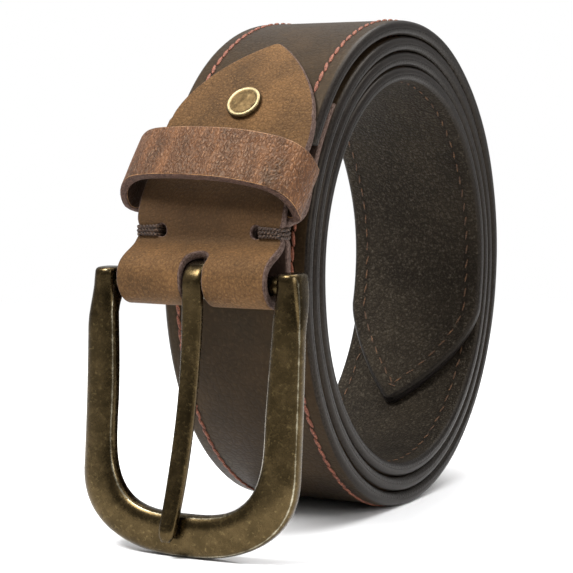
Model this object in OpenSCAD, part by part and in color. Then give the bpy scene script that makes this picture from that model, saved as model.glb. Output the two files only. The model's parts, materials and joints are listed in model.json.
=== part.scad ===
// Leather belt: a lined and stitched strap rolled into a standing coil, with a folded
// buckle tab, a fixed keeper, a cast frame buckle and its prong.
// X runs across the strap, -Y is the buckle side, +Z is up and the floor is Z = 0.

/* [Strap] */
// Width of the strap
strap_w = 38; // [34:1:40]
// Thickness of the outer leather
face_t = 1.8; // [1.6:0.1:2]
// Thickness of the lining leather
lining_t = 1.7; // [1.5:0.1:1.9]
// Air between one turn of the coil and the next
turn_gap = 0.2; // [0.2:0.05:0.4]
// Length of the pointed end
point_len = 31; // [28:1:34]

/* [Coil] */
// Radius of the coil's outer face where the strap starts
coil_r = 62.2; // [60:0.05:66]
// Depth of the coil as a share of its height
coil_oval = 0.967; // [0.95:0.001:1]
// Distance from the origin back to the coil's axis
coil_back = 12.75; // [11:0.05:14]
// How far the tab's back layer lifts the first turn off the second
lift = 2; // [1.9:0.1:2.4]
// Angle travelled by the strap, tip included
strap_turn = 1285; // [1200:5:1300]

/* [Stitching] */
// Distance of the seam from the strap's edge
seam_inset = 4; // [3:0.25:5]
// Width of the thread
thread_w = 0.7; // [0.5:0.1:0.9]
// Height that the thread stands off the leather
thread_h = 0.12; // [0.08:0.01:0.14]

/* [Punched holes] */
// Diameter of a prong hole
hole_d = 4.6; // [4:0.1:5]
// Number of prong holes
hole_count = 5; // [1:2:7]
// Distance between prong holes along the strap
hole_step = 25; // [20:1:26]
// Distance from the pointed tip to the first hole
hole_first = 115; // [100:5:130]

/* [Tab] */
// Thickness of the tab leather
tab_t = 2; // [1.8:0.1:2]
// Thickness of the tab's skived back layer
tab_back_t = 1.3; // [1:0.1:1.4]
// Width of the tab's riveted end
tab_top_w = 37; // [35:0.5:38]
// Length of the arch at the tab's end
tab_arch = 25; // [21:1:26]
// Width of the slot for the prong
slot_w = 6.2; // [5.6:0.1:7]

/* [Rivet] */
// Diameter of the rivet's cap
cap_d = 8.6; // [7.5:0.1:9]
// Diameter of the rivet's tube
post_d = 3.9; // [3.5:0.1:4.2]

/* [Lacing] */
// Distance of each lacing hole from the middle of the tab
lace_x = 12.2; // [11:0.1:13]
// Thickness of the lacing thread
lace_t = 0.8; // [0.6:0.05:0.85]
// Turns of thread in each lacing
lace_turns = 3; // [2:1:3]

/* [Keeper] */
// Width of the keeper band
keeper_w = 13; // [11:0.5:13]
// Thickness of the keeper leather
keeper_t = 1.9; // [1.6:0.1:2.1]
// Outer width of the keeper loop
keeper_out = 46.6; // [46:0.2:47]
// Room inside the keeper for the strap's end
keeper_room = 7.5; // [7:0.1:8]

/* [Buckle] */
// Outer width of the frame
frame_w = 54.8; // [53:0.2:56]
// Width of the window in the frame
window_w = 41; // [41:0.1:42]
// Height of the frame's lower bar
toe_h = 8.8; // [7:0.1:9]
// Thickness of the frame, front to back
frame_t = 4.2; // [3.5:0.1:4.4]
// Diameter of the heel bar that the frame turns on
bar_d = 4.4; // [4:0.1:4.6]
// Height of the heel bar above the floor
bar_z = 59.8; // [59:0.1:60]
// How far the lower bar stands in front of the ears
frame_reach = 5.4; // [4:0.1:6]

/* [Prong] */
// Width of the prong
prong_w = 4.4; // [4:0.1:4.8]
// Thickness of the prong
prong_t = 2.6; // [2.4:0.1:2.7]
// Sideways lean of the prong's tip
prong_lean = 1.8; // [0:0.1:2.4]

/* [Hidden] */
$fn = 64;
step = 5;
start_a = 30;
strap_t = face_t + lining_t;
pitch = strap_t + turn_gap;
end_a = start_a + strap_turn;
shoulder_a = end_a - 40;
tip_mid_a = end_a - 18;
lift_hold_a = 45;
lift_end_a = 95;
coil_z = coil_r - pitch * 270 / 360;
half_w = strap_w / 2;
fit = 0.1;
cut = 1;
tip_r = coil_r - pitch * tip_mid_a / 360;
hole_a = hole_step * 180 / (PI * (tip_r + 1));
first_hole_a = end_a - hole_first * 180 / (PI * tip_r);

tab_top_a = 57;
tab_back_a = 44;
rivet_a = 37.5;
seam_room = 0.2;
tab_on = seam_room + tab_t / 2;
back_on = 0.7 + tab_back_t / 2;
cap_gap = 0.15;
base_gap = 0.25;

bar_y = coil_back - 71;
fold_y = coil_back - 69.7;
fold_z = 60.9;
fold_r = 5.35;
lace_y = coil_back - 66.4;
lace_z = 71;
lace_run = 1.2;
slot_top_z = 66.6;

keeper_y = coil_back - 61.5;
keeper_z = 84.2;
keeper_tilt = 33;
keeper_skew = 3;
keeper_back = 2.8;
staple_w = 10;
staple_wire = 0.8;

ear_r = 3.1;
ear_y = bar_y - 2.6;
frame_top = bar_z + ear_r;
corner_h = 18.5;
corner_n = 2.3;
window_h = 19.8;
window_n = 3.1;

eye_r = bar_d / 2 + 0.1;
prong_tip_z = 4.6;
prong_reach = 8.1;
eye_wall = prong_t + 0.2;

function ease(t) = t <= 0 ? 0 : t >= 1 ? 1 : t * t * (3 - 2 * t);

// Radius of the coil at angle a, at a depth below the strap's outer face.
function coil_radius(a, depth) =
  coil_r - pitch * a / 360 - depth
  + lift * (1 - ease((a - lift_hold_a) / (lift_end_a - lift_hold_a)));

// Point of the coil in the side view; a = 0 faces the buckle and a = 90 is the top.
function coil_point(a, depth) =
  [coil_back - coil_oval * coil_radius(a, depth) * cos(a),
   coil_z + coil_radius(a, depth) * sin(a)];

// Closed outline of the strap between two depths.
function band(a0, a1, outer, inner) = concat(
  [for (a = [a0:step:a1]) coil_point(a, outer)],
  [for (a = [a1:-step:a0]) coil_point(a, inner)]);

function bezier(p0, p1, p2, p3, t) =
  p0 * pow(1 - t, 3) + p1 * 3 * t * pow(1 - t, 2) + p2 * 3 * t * t * (1 - t) + p3 * pow(t, 3);

function curve(p0, p1, p2, p3, count) =
  [for (i = [1:count]) bezier(p0, p1, p2, p3, i / count)];

function unit(v) = v / norm(v);

// Side direction of a path at point i.
function side_of(path, i) =
  let (last = len(path) - 1,
       d = unit(path[min(i + 1, last)] - path[max(i - 1, 0)]))
  [-d.y, d.x];

// Closed outline of a sheet that follows a path, with a half thickness for each point.
function sheet(path, half) = concat(
  [for (i = [0:len(path) - 1]) path[i] + side_of(path, i) * half[i]],
  [for (i = [len(path) - 1:-1:0]) path[i] - side_of(path, i) * half[i]]);

// Pointed arch on a straight tail: |x / half| ^ n + (y / len) ^ 1.5 = 1.
function arch(half, len, tail, n) =
  let (right = [for (i = [0:16]) let (u = 1 - pow(i / 16, 1.4)) [half * u, len * pow(1 - pow(u, n), 2 / 3)]])
  concat([[-half, -tail], [half, -tail]], right, [for (i = [15:-1:0]) [-right[i].x, right[i].y]]);

// Extrudes a side view along X.
module along_x(x0, x1) {
  rotate([90, 0, 90]) translate([0, 0, x0]) linear_extrude(x1 - x0) children();
}

// Extrudes a front view along Y, between two places.
module along_y(y0, y1) {
  translate([0, y1, 0]) rotate([90, 0, 0]) linear_extrude(y1 - y0) children();
}

// Stands children on the coil, with their Z pointing out and their Y along the strap.
module on_coil(a, depth) {
  p = coil_point(a, depth);
  translate([0, p.x, p.y]) rotate([90 - a, 0, 0]) children();
}

// Stands children on the rivet's axis, at a height above the strap's outer face.
module on_rivet(h) {
  on_coil(rivet_a, 0) translate([0, 0, h]) children();
}

// Stands children on the tab under the keeper, with their Z up along the tab.
module on_keeper() {
  translate([0, keeper_y, keeper_z]) rotate([-keeper_tilt, 0, 0])
    rotate([0, keeper_skew, 0]) children();
}

// Volume of the strap's pointed end, drawn in by an inset.
module point_shape(inset) {
  reach = (end_a - tip_mid_a) * PI * tip_r / 180;
  on_coil(tip_mid_a, strap_t + 4) linear_extrude(strap_t + 8)
    translate([0, reach - point_len])
      polygon(arch(half_w - inset, point_len - inset * 1.3, 40, 1));
}

module strap_layer(outer, inner) {
  difference() {
    union() {
      along_x(-half_w, half_w) polygon(band(start_a, shoulder_a, outer, inner));
      intersection() {
        along_x(-half_w, half_w) polygon(band(shoulder_a, end_a, outer, inner));
        point_shape(0);
      }
    }
    on_rivet(-strap_t - cut) cylinder(d = post_d + fit, h = strap_t + 2 * cut);
    for (i = [0:hole_count - 1])
      on_coil(first_hole_a - i * hole_a, strap_t + cut)
        cylinder(d = hole_d, h = strap_t + cut + fit);
  }
}

module strap_face() {
  color("#4a3426") strap_layer(0, face_t);
}

module strap_lining() {
  color("#3d3430") strap_layer(face_t, strap_t);
}

module seam(outer, inner) {
  for (side = [-1, 1]) {
    x = side * (half_w - seam_inset);
    along_x(x - thread_w / 2, x + thread_w / 2) polygon(band(start_a, shoulder_a, outer, inner));
  }
  intersection() {
    along_x(-half_w, half_w) polygon(band(shoulder_a, end_a, outer, inner));
    difference() {
      point_shape(seam_inset - thread_w / 2);
      point_shape(seam_inset + thread_w / 2);
    }
  }
}

module face_thread() {
  color("#6b3327") seam(-thread_h, 0);
}

module lining_thread() {
  color("#7a4a2c") seam(strap_t, strap_t + thread_h / 2);
}

function tab_front() =
  let (s0 = coil_point(start_a, -tab_on),
       down = unit(s0 - coil_point(start_a + 1, -tab_on)),
       lace = [lace_y, lace_z + lace_run])
  concat(
    [for (a = [tab_top_a:-2.5:start_a]) coil_point(a, -tab_on)],
    curve(s0, s0 + down * 8, lace + [0, 7], lace, 10));

function tab_fold() =
  let (front = [lace_y, lace_z - lace_run],
       back = front + [tab_t + fit, 0],
       centre = [fold_y, fold_z],
       on = centre + fold_r * [cos(160), sin(160)],
       off = centre + fold_r * [cos(370), sin(370)])
  concat(
    [front],
    curve(front, front - [0, 3.4], on + 3.4 * [cos(70), sin(70)], on, 6),
    [for (a = [175:15:355]) centre + fold_r * [cos(a), sin(a)]],
    [off],
    curve(off, off + [0, 3], back - [0, 3], back, 5));

function tab_back() =
  let (lace = [lace_y + tab_t + fit, lace_z + lace_run],
       end = coil_point(378, -back_on),
       up = unit(coil_point(379, -back_on) - end))
  concat(
    [lace],
    curve(lace, lace + [0, 2.5], end - up * 6, end, 7),
    [for (a = [380:2:360 + tab_back_a]) coil_point(a, -back_on)]);

module tab_sheet() {
  front = tab_front();
  fold = tab_fold();
  back = tab_back();
  half = concat([for (p = concat(front, fold)) tab_t / 2],
    [for (i = [0:len(back) - 1]) max(tab_back_t, tab_t - i * 0.12) / 2]);
  polygon(sheet(concat(front, fold, back), half));
}

// Hole and edge notch for one lacing, through both layers.
module lacing_hole(side) {
  hole_h = lace_turns * (lace_t + 0.05) + 0.2;
  along_y(lace_y - 4, lace_y + 8) {
    translate([side * lace_x, lace_z]) square([2, hole_h], center = true);
    translate([side * half_w, lace_z]) square([2 * lace_t + 2 * fit, hole_h], center = true);
  }
}

module buckle_tab() {
  color("#7a5536") difference() {
    along_x(-half_w, half_w) tab_sheet();
    // sides and arch of the riveted end
    on_rivet(-strap_t - cap_gap) linear_extrude(12) difference() {
      translate([-half_w - cut, -9]) square([strap_w + 2 * cut, 40]);
      translate([0, -4]) polygon(arch(tab_top_w / 2, tab_arch, 12, 1.05));
    }
    on_rivet(-9) cylinder(d = post_d + fit, h = 14);
    // slot for the prong, round the whole fold
    along_y(fold_y - 12, fold_y + 12) {
      translate([0, slot_top_z - slot_w / 2]) circle(d = slot_w);
      translate([-slot_w / 2, fold_z - 12]) square([slot_w, slot_top_z - slot_w / 2 - fold_z + 12]);
    }
    for (side = [-1, 1]) lacing_hole(side);
  }
}

module rivet_cap() {
  color("#8a7a4a") on_rivet(tab_t + seam_room + cap_gap) {
    cylinder(d1 = cap_d, d2 = cap_d - 1, h = 0.9);
    translate([0, 0, -5]) cylinder(d = post_d / 2, h = 5);
  }
}

module rivet_base() {
  flange = 0.3;
  deep = strap_t + seam_room + tab_back_t;
  color("#8a7a4a") on_rivet(-deep - base_gap - flange) {
    cylinder(d = cap_d - 1, h = flange);
    difference() {
      cylinder(d = post_d, h = deep + base_gap + tab_t);
      translate([0, 0, flange + 1]) cylinder(d = post_d / 2 + fit, h = deep + tab_t);
    }
  }
}

// Thread wound through a lacing hole and over the tab's edge.
module lacing(side) {
  rise = lace_t + 0.05;
  deep = 2 * tab_t + 3 * fit;
  inner = lace_x + 0.5;
  outer = half_w - lace_t;
  for (i = [0:lace_turns - 1])
    translate([0, lace_y - tab_t / 2 - fit, lace_z + (i - (lace_turns - 1) / 2) * rise - lace_t / 2])
      linear_extrude(lace_t) difference() {
        translate([min(side * (inner - lace_t), side * (outer + lace_t)), -lace_t])
          square([outer - inner + 2 * lace_t, deep + 2 * lace_t]);
        translate([min(side * inner, side * outer), 0]) square([outer - inner, deep]);
      }
}

module lacing_left() {
  color("#2e2019") lacing(-1);
}

module lacing_right() {
  color("#2e2019") lacing(1);
}

// Outline of the keeper loop: arched in front, flat behind the tab's front layer.
function loop(half, front, back) = concat(
  [for (a = [0:6:180]) [half * sign(cos(a)) * pow(abs(cos(a)), 0.8), -front * pow(sin(a), 0.8)]],
  [for (a = [186:6:354]) [half * sign(cos(a)) * pow(abs(cos(a)), 0.35), back * pow(-sin(a), 0.5)]]);

module keeper() {
  front = keeper_room + keeper_t;
  color("#8f5a3c") on_keeper() translate([0, 0, -keeper_w / 2]) linear_extrude(keeper_w)
    difference() {
      polygon(loop(keeper_out / 2, front, keeper_back + keeper_t));
      polygon(loop(keeper_out / 2 - keeper_t, front - keeper_t, keeper_back));
    }
}

// Wire staple that closes the keeper behind the tab's front layer.
module keeper_staple() {
  y = keeper_back + keeper_t + fit / 2;
  color("#8d8d86") on_keeper()
    translate([-staple_w / 2, y, -staple_wire / 2]) cube([staple_w, staple_wire, staple_wire]);
}

// Middle of the frame's thickness at height z.
function frame_y(z) = ear_y - frame_reach * pow(max(0, frame_top - z) / frame_top, 1.8);

function frame_band(half) = concat(
  [for (i = [0:26]) let (z = frame_top + 1 - i * (frame_top + 2) / 26) [frame_y(z) - half, z]],
  [for (i = [26:-1:0]) let (z = frame_top + 1 - i * (frame_top + 2) / 26) [frame_y(z) + half, z]]);

// Front view of a tub: straight sides, and a rounded bottom of height h.
function tub(half, low, high, h, n) = concat(
  [[half, high], [-half, high]],
  [for (a = [-90:7.5:90]) [half * sign(a) * pow(abs(sin(a)), 2 / n), low + h * (1 - pow(cos(a), 2 / n))]]);

module buckle_frame() {
  side_w = (frame_w - window_w) / 2;
  color("#6b5a35") {
    intersection() {
      along_x(-frame_w / 2, frame_w / 2) polygon(frame_band(frame_t / 2));
      along_y(bar_y - 20, bar_y + 20) difference() {
        polygon(tub(frame_w / 2, 0, frame_top, corner_h, corner_n));
        polygon(tub(window_w / 2, toe_h, frame_top + cut, window_h, window_n));
      }
    }
    translate([-window_w / 2 - side_w / 2, bar_y, bar_z]) rotate([0, 90, 0])
      cylinder(d = bar_d, h = window_w + side_w);
    for (side = [-1, 1])
      translate([side * (window_w + side_w) / 2, bar_y, bar_z]) rotate([0, 90, 0])
        cylinder(r = ear_r, h = side_w - 0.2, center = true);
  }
}

// Share of the way down from the heel bar to the prong's tip.
function prong_down(z) = (bar_z - z) / (bar_z - prong_tip_z);

function prong_x(z) = -pow(prong_down(z), 2) * prong_lean;

function prong_y(z) = bar_y - eye_r - eye_wall / 2 - prong_reach * pow(prong_down(z), 2);

function prong_side(half) = concat(
  [for (i = [0:28]) let (z = bar_z - 2 * i) [prong_y(z) - half, z]],
  [for (i = [28:-1:0]) let (z = bar_z - 2 * i) [prong_y(z) + half, z]]);

function prong_front(half) = concat(
  [for (i = [-1:29]) let (z = bar_z - 2 * i) [prong_x(z) - half, z]],
  [for (i = [29:-1:-1]) let (z = bar_z - 2 * i) [prong_x(z) + half, z]]);

module prong() {
  color("#6b5a35") difference() {
    union() {
      intersection() {
        along_x(-frame_w / 2, frame_w / 2) polygon(prong_side(prong_t / 2));
        along_y(bar_y - 20, bar_y + 20) polygon(prong_front(prong_w / 2));
      }
      translate([-prong_w / 2, bar_y, bar_z]) rotate([0, 90, 0])
        cylinder(r = eye_r + eye_wall, h = prong_w);
    }
    translate([-frame_w / 2, bar_y, bar_z]) rotate([0, 90, 0]) cylinder(r = eye_r, h = frame_w);
  }
}

strap_face();
strap_lining();
face_thread();
lining_thread();
buckle_tab();
rivet_cap();
rivet_base();
lacing_left();
lacing_right();
keeper();
keeper_staple();
buckle_frame();
prong();
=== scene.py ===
import json
import math

import bmesh
import bpy
import numpy as np
from mathutils import Matrix, Vector, noise
from mathutils.geometry import delaunay_2d_cdt


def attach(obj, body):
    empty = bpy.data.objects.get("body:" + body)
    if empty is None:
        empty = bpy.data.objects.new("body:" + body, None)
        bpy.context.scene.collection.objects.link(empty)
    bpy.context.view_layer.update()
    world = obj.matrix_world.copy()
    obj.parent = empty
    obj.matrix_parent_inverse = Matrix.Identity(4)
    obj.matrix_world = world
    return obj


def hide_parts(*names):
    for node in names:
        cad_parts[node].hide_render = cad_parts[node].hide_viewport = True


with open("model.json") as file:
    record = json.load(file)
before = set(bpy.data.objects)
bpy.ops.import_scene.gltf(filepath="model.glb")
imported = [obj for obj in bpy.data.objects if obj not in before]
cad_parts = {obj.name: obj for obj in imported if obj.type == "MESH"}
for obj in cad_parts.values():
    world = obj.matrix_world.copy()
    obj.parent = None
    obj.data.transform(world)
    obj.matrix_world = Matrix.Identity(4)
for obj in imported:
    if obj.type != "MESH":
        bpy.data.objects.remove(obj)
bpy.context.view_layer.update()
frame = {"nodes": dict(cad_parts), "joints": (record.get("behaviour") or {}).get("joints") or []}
mm = 0.001
hinge = Vector(frame["joints"][0]["pos_m"]) / mm  # middle of the heel bar

# shared shapes

coil = {
    "radius": 62.2, "oval": 0.967, "pitch": 3.7, "start": 30.0, "end": 1315.0,
    "lift": 2.0, "liftHold": 45.0, "liftEnd": 95.0, "back": hinge.y + 71.0,
    "width": 38.0, "face": 1.8, "lining": 1.7,
}
coil["height"] = coil["radius"] - coil["pitch"] * 0.75


def ease(t):
    t = min(max(t, 0.0), 1.0)
    return t * t * (3 - 2 * t)


def coilPoint(a, depth):  # a = 0 faces the buckle and a = 90 is the top
    r = coil["radius"] - coil["pitch"] * a / 360 - depth
    r += coil["lift"] * (1 - ease((a - coil["liftHold"]) / (coil["liftEnd"] - coil["liftHold"])))
    t = math.radians(a)
    return Vector((0, coil["back"] - coil["oval"] * r * math.cos(t), coil["height"] + r * math.sin(t)))


def around(degrees):  # direction in the side view, from +Y up towards +Z
    t = math.radians(degrees)
    return Vector((0, math.cos(t), math.sin(t)))


def runLengths(points):  # distance along a path to each of its points
    steps = [(b - a).length for a, b in zip(points[:-1], points[1:])]
    return np.concatenate([[0], np.cumsum(steps)])


def wobble(x, y, size, amount, seed=0.0):
    return amount * noise.noise(Vector((x / size, y / size, seed)))


def makeObject(name, verts, faces, material, attributes=None):
    mesh = bpy.data.meshes.new(name)
    mesh.from_pydata([tuple(v * mm) for v in verts], [], faces)
    for key, values in (attributes or {}).items():
        isVector = hasattr(values[0], "__len__")
        layer = mesh.attributes.new(key, "FLOAT_VECTOR" if isVector else "FLOAT", "POINT")
        layer.data.foreach_set("vector" if isVector else "value", np.array(values, np.float32).ravel())
    mesh.materials.append(material)
    mesh.shade_smooth()
    mesh.validate()
    obj = bpy.data.objects.new(name, mesh)
    bpy.context.scene.collection.objects.link(obj)
    return obj


def insetLoop(loop, by):  # moves each point to the left of the loop's direction
    moved = []
    for i, b in enumerate(loop):
        a, c = loop[i - 1], loop[(i + 1) % len(loop)]
        d1, d2 = (b - a).normalized(), (c - b).normalized()
        side = Vector((-d1.y - d2.y, d1.x + d2.x))
        moved.append(b + side * by / max(0.6, side.length_squared / 2))
    return moved


def insideLoop(p, loop):
    hit = False
    for i in range(len(loop)):
        a, b = loop[i - 1], loop[i]
        if (a.y > p.y) != (b.y > p.y) and p.x < (b.x - a.x) * (p.y - a.y) / (b.y - a.y) + a.x:
            hit = not hit
    return hit


# Leather cut to a flat outline, laid out by place(x, s, depth), with rounded edges all round.
# The first loop is the outline and the others are holes; "left of the loop" is always leather.
def cutLeather(name, loops, place, thick, edges, grid, material, steps=4):
    topEdge, lowEdge = edges
    thickAt = thick if callable(thick) else (lambda s: thick)
    turns = [math.radians(90 * k / steps) for k in range(steps + 1)]
    profile = [(topEdge * (1 - math.sin(t)), topEdge * (1 - math.cos(t)), 0) for t in turns]
    profile += [(lowEdge * (1 - math.sin(t)), lowEdge * (1 - math.cos(t)), 1) for t in reversed(turns)]

    verts, flat, rim, side = [], [], [], []

    def addPoint(x, s, depth, low, edge):
        t = thickAt(s)
        d = t - depth if low else depth
        verts.append(place(x, s, d))
        flat.append((x * mm, s * mm, d * mm))
        rim.append(edge)
        side.append(d / t)
        return len(verts) - 1

    rings = []
    for inset, depth, low in profile:
        rimShare = min(1.0, 1.6 * (1 - inset / (lowEdge if low else topEdge)))
        rings.append([[addPoint(p.x, p.y, depth, low, rimShare) for p in insetLoop(loop, inset)]
                      for loop in loops])

    faces = []
    for k in range(len(rings) - 1):
        for one, two in zip(rings[k], rings[k + 1]):
            n = len(one)
            faces += [(one[i], two[i], two[(i + 1) % n], one[(i + 1) % n]) for i in range(n)]

    # the two flat sides share one set of inner points
    innerTop = [insetLoop(loop, topEdge) for loop in loops]
    every = np.array([(p.x, p.y) for loop in innerTop for p in loop])
    lo, hi = every.min(0), every.max(0)
    nx = max(2, int(round((hi[0] - lo[0]) / grid[0])))
    ns = max(2, int(round((hi[1] - lo[1]) / grid[1])))
    fill = []
    for j in range(1, ns):
        for i in range(1, nx):
            p = Vector((lo[0] + (hi[0] - lo[0]) * i / nx, lo[1] + (hi[1] - lo[1]) * j / ns))
            near = every[np.abs(every[:, 1] - p.y) < grid[1] * 3]
            gap = np.hypot(near[:, 0] - p.x, near[:, 1] - p.y).min() if len(near) else 99
            if gap > min(grid) * 0.55 and insideLoop(p, innerTop[0]) \
                    and not any(insideLoop(p, h) for h in innerTop[1:]):
                fill.append(p)
    for low, ring, inset in ((0, rings[0], topEdge), (1, rings[-1], lowEdge)):
        points, links, index = [], [], []
        for loop, ids in zip([insetLoop(loop, inset) for loop in loops], ring):
            base = len(points)
            points += loop
            index += ids
            links += [(base + i, base + (i + 1) % len(loop)) for i in range(len(loop))]
        points += fill
        index += [addPoint(p.x, p.y, 0, low, 0.0) for p in fill]
        outV, _, outF, origV, _, _ = delaunay_2d_cdt(points, links, [], 1, 1e-6)
        holes = [insetLoop(loop, inset) for loop in loops[1:]]
        for f in outF:
            mid = (outV[f[0]] + outV[f[1]] + outV[f[2]]) / 3
            if any(insideLoop(mid, h) for h in holes):
                continue
            ids = [index[origV[v][0]] for v in f]
            faces.append(tuple(ids if not low else reversed(ids)))

    # turn everything round if the layout is left-handed
    c = verts[0]
    x0, s0 = flat[0][0] / mm, flat[0][1] / mm
    turned = (place(x0 + 0.1, s0, 0) - c).cross(place(x0, s0 + 0.1, 0) - c).dot(place(x0, s0, -0.1) - c)
    if turned < 0:
        faces = [tuple(reversed(f)) for f in faces]
    return makeObject(name, verts, faces, material, {"flat": flat, "rim": rim, "side": side})


# Skin over a row of rings, with a flat fan at each end.
def loft(rings):
    verts = [p for ring in rings for p in ring]
    n, m = len(rings[0]), len(rings)
    faces = []
    for k in range(m - 1):
        a, b = k * n, (k + 1) * n
        faces += [(a + i, a + (i + 1) % n, b + (i + 1) % n, b + i) for i in range(n)]
    for k, order in ((0, -1), (m - 1, 1)):
        middle = len(verts)
        verts.append(sum(rings[k], Vector()) / n)
        ring = [(k * n + i, k * n + (i + 1) % n) for i in range(n)]
        faces += [(a, b, middle)[::order] for a, b in ring]
    return verts, faces


def tube(path, radius, sides=8):  # round cord along a path, with level ends
    rings, up = [], Vector((0.1, 0.3, 1))
    for i, p in enumerate(path):
        d = (path[min(i + 1, len(path) - 1)] - path[max(i - 1, 0)]).normalized()
        across = d.cross(up).normalized()
        up = across.cross(d).normalized()
        rings.append([p + radius * (across * math.cos(t) + up * math.sin(t))
                      for t in (2 * math.pi * k / sides for k in range(sides))])
    return loft(rings)


def joinParts(parts):
    verts, faces = [], []
    for v, f in parts:
        base = len(verts)
        verts += v
        faces += [tuple(base + i for i in face) for face in f]
    return verts, faces


# finishes

def tone(r, g, b):  # screen colour to the shader's linear colour
    def channel(c):
        c /= 255
        return c / 12.92 if c < 0.04045 else ((c + 0.055) / 1.055) ** 2.4
    return (channel(r), channel(g), channel(b), 1.0)


class Wire:  # a value in a shader tree that Python's operators work on
    def __init__(self, recipe, socket):
        self.recipe, self.socket = recipe, socket

    def calc(self, operation, first, second=0.0):
        return self.recipe.add("ShaderNodeMath", {"operation": operation}, {0: first, 1: second})

    def __add__(self, other):
        return self.calc("ADD", self, other)

    def __sub__(self, other):
        return self.calc("SUBTRACT", self, other)

    def __rsub__(self, other):
        return self.calc("SUBTRACT", other, self)

    def __mul__(self, other):
        return self.calc("MULTIPLY", self, other)

    def __abs__(self):
        return self.calc("ABSOLUTE", self)

    def soft(self, low, high):  # 0 below low, 1 above high
        return self.recipe.add("ShaderNodeMapRange", {"interpolation_type": "SMOOTHSTEP"},
                               {"Value": self, "From Min": low, "From Max": high})

    __radd__ = __add__
    __rmul__ = __mul__


class Recipe:  # the nodes of one material, or of the light from all round
    def __init__(self, owner, shader="Principled BSDF"):
        owner.use_nodes = True
        self.owner = owner
        self.nodes = owner.node_tree.nodes
        self.links = owner.node_tree.links
        self.shader = self.nodes[shader]

    def add(self, kind, settings=None, sockets=None, out=0):
        node = self.nodes.new(kind)
        for key, value in (settings or {}).items():
            if key == "stops":
                ramp = node.color_ramp
                while len(ramp.elements) < len(value):
                    ramp.elements.new(0.5)
                for element, (place, colour) in zip(ramp.elements, value):
                    element.position, element.color = place, colour
            else:
                setattr(node, key, value)
        self.fill(node, sockets or {})
        return Wire(self, node.outputs[out])

    def fill(self, node, sockets):
        for key, value in sockets.items():
            if isinstance(value, Wire):
                self.links.new(value.socket, node.inputs[key])
            else:
                node.inputs[key].default_value = value

    def plainly(self):  # the shader's own output
        return Wire(self, self.shader.outputs[0])

    def part(self, where, axis):
        return self.add("ShaderNodeSeparateXYZ", {}, {0: where}, axis)

    def attribute(self, name, out="Fac"):
        return self.add("ShaderNodeAttribute", {"attribute_name": name}, {}, out)

    def clouds(self, where, scale, detail=3.0, rough=0.55, stretch=None):
        if stretch:
            where = self.add("ShaderNodeVectorMath", {"operation": "MULTIPLY"}, {0: where, 1: stretch})
        return self.add("ShaderNodeTexNoise", {}, {"Vector": where, "Scale": scale, "Detail": detail,
                                                   "Roughness": rough})

    def pebbles(self, where, scale, stretch=None):
        if stretch:
            where = self.add("ShaderNodeVectorMath", {"operation": "MULTIPLY"}, {0: where, 1: stretch})
        return self.add("ShaderNodeTexVoronoi", {"feature": "DISTANCE_TO_EDGE"},
                        {"Vector": where, "Scale": scale, "Randomness": 1.0})

    def mix(self, share, first, second, blend="MIX"):
        return self.add("ShaderNodeMix", {"data_type": "RGBA", "blend_type": blend},
                        {0: share, 6: first, 7: second}, 2)

    def relief(self, height, strength, distance):
        return self.add("ShaderNodeBump", {},
                        {"Height": height, "Strength": strength, "Distance": distance})

    def finish(self, fixed, **varying):
        self.fill(self.shader, fixed)
        self.fill(self.shader, {key.replace("_", " "): value for key, value in varying.items()})
        return self.owner


warmShine = (1.0, 0.82, 0.6, 1.0)


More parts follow.
